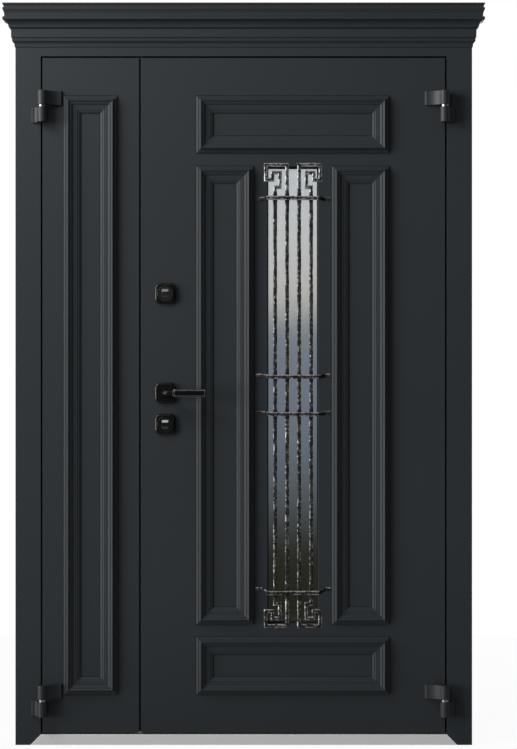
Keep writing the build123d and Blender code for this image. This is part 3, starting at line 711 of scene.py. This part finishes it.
mesh = bmesh.new()
layer = mesh.verts.layers.float.new(RUB_AND_PAINTED_LIGHT)
for number, sign in enumerate((-1, 1)):
    tight = [
        middle + Vector((sign * x, bar_y, z)) for x in (INNER_BAR, OUTER_BAR) for z in crossings
    ]
    loop = Bar(loop_corners(sign), normal=(0, -1, 0), half=(BAR / 2, BAR / 2), closed=True,
               seed=LOOP_SEED + number, rubbing_and_light=loop_rub, tight=tight)
    loop.build(mesh, layer)
crossbar_half = (CROSSBAR_THICK / 2 * CROSSBAR_TRIM, CROSSBAR_TALL / 2 * CROSSBAR_TRIM)
for number, (height, rise) in enumerate(zip(crossings, FOOT_RISES)):
    crossbar = Bar(crossbar_corners(height, rise), normal=(0, 0, 1), half=crossbar_half,
                   closed=False, seed=CROSSBAR_SEED + number, rubbing_and_light=crossbar_rub_and_light)
    crossbar.build(mesh, layer)
blank = settle(mesh, "grille_blank")
print("grille blank:", len(blank.polygons), "faces")

# %% [markdown]
# ### Hammer marks
#
# The blank is still too even between its rings. Geometry Nodes move every point along its normal
# by a noise with a fixed seed, which leaves shallow dents the size of a small hammer's face, and
# then set the material. The tree has its sizes as named inputs, and its result becomes a plain
# mesh before it joins the door.

# %% A geometry tree with named sizes
class Recipe(Sheet):
    """A geometry tree that takes a mesh and named sizes, and gives one realized mesh."""

    def __init__(self, name, **sizes):
        super().__init__(bpy.data.node_groups.new(name, "GeometryNodeTree"))
        face = self.tree.interface
        face.new_socket("Mesh", in_out="OUTPUT", socket_type="NodeSocketGeometry")
        face.new_socket("Mesh", in_out="INPUT", socket_type="NodeSocketGeometry")
        self.sizes = sizes
        self.sockets = {
            key: face.new_socket(key, in_out="INPUT", socket_type="NodeSocketFloat")
            for key in sizes
        }
        self.group = self.tree.nodes.new("NodeGroupInput")

    def given(self, key):
        """What comes into the tree by this name."""
        return Flow(self, self.group.outputs[key])

    def end(self, flow, material):
        """Close the tree: realize what it made and set its material."""
        real = self.node("GeometryNodeRealizeInstances", None, {0: flow})
        dressed = self.node("GeometryNodeSetMaterial", None, {"Geometry": real, "Material": material})
        out = self.tree.nodes.new("NodeGroupOutput")
        self.feed(out.inputs[0], dressed)

    def apply(self, name, source):
        """Run the tree on a mesh and keep the result as a plain object."""
        carrier = stand(name, source)
        modifier = carrier.modifiers.new(name, "NODES")
        modifier.node_group = self.tree
        for key, value in self.sizes.items():
            modifier[self.sockets[key].identifier] = value
        view = bpy.context.evaluated_depsgraph_get()
        result = bpy.data.meshes.new_from_object(carrier.evaluated_get(view))
        carrier.modifiers.clear()
        carrier.data = result
        return carrier


print("geometry recipe ready")

# %% Hammer the blank
DENT_LEVEL = 0.62  # over half, so that the hammer takes away more than it raises

hammer = Recipe("hammer", dent_depth=0.0007, dents_per_metre=105.0, seed=4.0)
dents = hammer.node(
    "ShaderNodeTexNoise", {"noise_dimensions": "4D"},
    {"Vector": hammer.node("GeometryNodeInputPosition"), "W": hammer.given("seed"),
     "Scale": hammer.given("dents_per_metre"), "Detail": 1.0},
)
push = hammer.node(
    "ShaderNodeVectorMath", {"operation": "SCALE"},
    {0: hammer.node("GeometryNodeInputNormal"),
     "Scale": (dents - DENT_LEVEL) * hammer.given("dent_depth")},
)
beaten = hammer.node("GeometryNodeSetPosition", None,
                     {"Geometry": hammer.given("Mesh"), "Offset": push})
hammer.end(beaten, finishes["forged_iron"])
grille = hammer.apply("forged_grille", blank)
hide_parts("window_grille")
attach(grille, "main_leaf")
grille.visible_glossy = False  # the pane shows the open surroundings, without the bars' own image
grille.visible_shadow = False  # and no shadow of the bars doubles them on the pane
print("grille:", len(grille.data.polygons), "faces")

# %% [markdown]
# ## The glazing gasket
#
# A thin black rubber frame holds the outer pane in its opening; its black also serves as painted
# shade along the pane's edges. It is a tube of rectangular section that follows the opening, so
# two rectangles at two depths give all of its faces.

# %% Rubber round the outer pane
GASKET_WIDTH, GASKET_DEPTH = 0.003, 0.004


def rectangle(inset, depth):
    """Four corners of the window opening, drawn in by an inset, at a depth."""
    left, right = pane_low.x + GLASS_LAP + inset, pane_high.x - GLASS_LAP - inset
    foot, head = pane_low.z + GLASS_LAP + inset, pane_high.z - GLASS_LAP - inset
    corners = ((left, foot), (right, foot), (right, head), (left, head))
    return [Vector((x, depth, z)) for x, z in corners]


mesh = bmesh.new()
back, front = pane_low.y, pane_low.y - GASKET_DEPTH
rims = [
    [mesh.verts.new(corner) for corner in rectangle(inset, depth)]
    for inset, depth in ((0.0, back), (0.0, front), (GASKET_WIDTH, front), (GASKET_WIDTH, back))
]
for rim, following in zip(rims, rims[1:] + rims[:1]):
    for i in range(4):
        j = (i + 1) % 4
        mesh.faces.new((rim[i], rim[j], following[j], following[i]))
# painted shade: the black rubber also stands for the shade at the pane's edges
gasket_and_shade = stand("glazing_gasket_and_shade", settle(mesh, "glazing_gasket_and_shade"))
gasket_and_shade.data.materials.append(finishes["seal_rubber"])
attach(gasket_and_shade, "main_leaf")
print("gasket:", len(gasket_and_shade.data.polygons), "faces")

# %% [markdown]
# ## The floor
#
# The door stands on a plain pale disc. To the camera it is almost white, because most of what it
# shows is its own glow, and the rest still takes the door's shadow. To the light that bounces on
# to the door it is a middle grey, so that it doesn't light the door from below.

# %% A disc with its own glow
FLOOR_RADIUS, FLOOR_SIDES = 2.3, 96
FLOOR_GREY, FLOOR_PALE = (0.20, 0.20, 0.20, 1), (0.82, 0.82, 0.82, 1)
FLOOR_ROUGHNESS = 0.9
CAMERA_GLOW, MIRRORED_GLOW = 0.65, 0.28  # the camera gets both, metal and glass the second
WHITE = (1, 1, 1, 1)


def seen_directly(sheet):
    """1 for rays that show the background: from the camera, a mirror or through glass."""
    camera_ray, glossy_ray, transmission_ray = (
        sheet.node("ShaderNodeLightPath", output=name)
        for name in ("Is Camera Ray", "Is Glossy Ray", "Is Transmission Ray")
    )
    return camera_ray + glossy_ray + transmission_ray


mesh = bmesh.new()
bmesh.ops.create_circle(mesh, cap_ends=True, segments=FLOOR_SIDES, radius=FLOOR_RADIUS)
floor = stand("floor", settle(mesh, "floor"))

floor_finish = Finish("floor", roughness=FLOOR_ROUGHNESS)
in_view = floor_finish.node("ShaderNodeLightPath", output="Is Camera Ray")
floor_finish.give("Base Color", floor_finish.mix(in_view, FLOOR_GREY, FLOOR_PALE))
glow = floor_finish.node("ShaderNodeEmission", None, {"Color": WHITE, "Strength": 1.0})
paled = floor_finish.node(
    "ShaderNodeMixShader", None,
    {0: in_view * CAMERA_GLOW + seen_directly(floor_finish) * MIRRORED_GLOW,
     1: Flow(floor_finish, floor_finish.surface.outputs[0]), 2: glow},
)
floor_finish.feed(floor_finish.tree.nodes["Material Output"].inputs["Surface"], paled)
floor.data.materials.append(floor_finish.material)
print("floor", FLOOR_RADIUS, "m")

# %% [markdown]
# ## Lamps
#
# In the photograph slopes that face left are bright and those that face right are almost black.
# A far and even soft light from the left gives most of that. A soft lamp at the upper left adds
# the fall from top to foot, one high in front makes the glints on washers and lock plates, and a
# fill from behind lights the side that the photograph doesn't show.

# %% Four lamps
AIM = Vector((0.0, 0.0, 1.1))


def lamp(name, place, size, power):
    """Soft rectangular lamp that looks at the door's middle."""
    light = bpy.data.lights.new(name, "AREA")
    light.shape = "RECTANGLE"
    light.size, light.size_y = size
    light.energy = power
    made = stand(name, light)
    made.location = place
    made.rotation_euler = (AIM - Vector(place)).to_track_quat("-Z", "Y").to_euler()
    made.visible_camera = False


def far_lamp(name, leftward, upward, spread, power):
    """Even soft light from far away, by its angles from the door's front."""
    light = bpy.data.lights.new(name, "SUN")
    light.angle = math.radians(spread)
    light.energy = power
    across, up = math.radians(leftward), math.radians(upward)
    level = math.cos(up)
    towards = Vector((-math.sin(across) * level, -math.cos(across) * level, math.sin(up)))
    stand(name, light).rotation_euler = towards.to_track_quat("Z", "Y").to_euler()


far_lamp("left_light", leftward=67.0, upward=3.0, spread=32.0, power=3.1)
lamp("upper_left_lamp", place=(-1.9, -1.15, 2.75), size=(0.9, 0.9), power=38.0)
lamp("glint_lamp", place=(-0.7, -3.4, 4.5), size=(1.0, 0.9), power=20.0)
lamp("back_fill", place=(2.6, 4.6, 2.6), size=(2.4, 2.4), power=160.0)
print("four lamps")

# %% [markdown]
# ## Surroundings
#
# Past the door the camera sees white. What metal and glass see in front of the door is a plain
# horizon instead: dark ground, a blue grey distance, a warm band and a pale sky. It is bright
# only round the direction that the window mirrors to the camera, and dim elsewhere, so that the
# paint isn't veiled by it. All other rays get a weak even light.

# %% Horizon in front of the door
HORIZON = 0.16  # the pale and the dark end of the horizon, as a sine of its angle
HORIZON_STOPS = [
    (0.0, (0.022, 0.022, 0.012, 1)), (0.19, (0.042, 0.041, 0.024, 1)),
    (0.29, (0.16, 0.18, 0.195, 1)), (0.38, (0.252, 0.285, 0.321, 1)),
    (0.575, (0.32, 0.364, 0.41, 1)), (0.635, (0.90, 0.84, 0.76, 1)),
    (0.70, (0.97, 0.95, 0.89, 1)), (0.77, (0.98, 0.98, 0.95, 1)),
    (0.86, (0.95, 1.0, 1.02, 1)),
]
world = bpy.data.worlds.new("surroundings")
bpy.context.scene.world = world
world.use_nodes = True
sky = Sheet(world.node_tree)
direction = sky.node("ShaderNodeTexCoord", output="Generated")
ray_x, ray_y, ray_z = (
    sky.node("ShaderNodeSeparateXYZ", None, {0: direction}, output=axis) for axis in range(3)
)
rise = sky.node("ShaderNodeMapRange", None,
                {"Value": ray_z, "From Min": -HORIZON, "From Max": HORIZON})
horizon = sky.node("ShaderNodeValToRGB", {"stops": HORIZON_STOPS}, {0: rise})
print("horizon of", len(HORIZON_STOPS), "tones")

# %% Bright where the window mirrors it, dim elsewhere
WINDOW_SIDE = 0.02  # where the window mirrors the horizon
BRIGHT_WITHIN, DIM_BEYOND = 0.03, 0.06  # how far to either side it is bright, and where it is dim
LEVEL_REACH = 0.12  # it reaches this much further up and down than to the sides
DIM_SHARE = 0.08
AMBIENT = 0.22

off_middle = sky.node("ShaderNodeMath", {"operation": "ABSOLUTE"}, {0: ray_x - WINDOW_SIDE})
off_level = sky.node("ShaderNodeMath", {"operation": "ABSOLUTE"}, {0: ray_z})
off_axis = sky.node("ShaderNodeMath", {"operation": "MAXIMUM"},
                    {0: off_middle, 1: off_level - LEVEL_REACH})
fade = sky.node("ShaderNodeMapRange", {"interpolation_type": "SMOOTHSTEP"},
                {"Value": off_axis, "From Min": BRIGHT_WITHIN, "From Max": DIM_BEYOND,
                 "To Min": 1.0, "To Max": DIM_SHARE})
behind = sky.node("ShaderNodeMath", {"operation": "GREATER_THAN"}, {0: ray_y, 1: 0.0})
is_glossy = sky.node("ShaderNodeLightPath", output="Is Glossy Ray")
front_glow = sky.node("ShaderNodeBackground", None, {"Color": horizon, "Strength": fade})
white = sky.node("ShaderNodeBackground", None, {"Color": WHITE, "Strength": 1.0})
dim = sky.node("ShaderNodeBackground", None, {"Color": WHITE, "Strength": AMBIENT})
plain = sky.node("ShaderNodeMixShader", None, {0: seen_directly(sky), 1: dim, 2: white})
whole = sky.node("ShaderNodeMixShader", None,
                 {0: is_glossy * (1 - behind), 1: plain, 2: front_glow})
sky.feed(world.node_tree.nodes["World Output"].inputs["Surface"], whole)
print("world made")
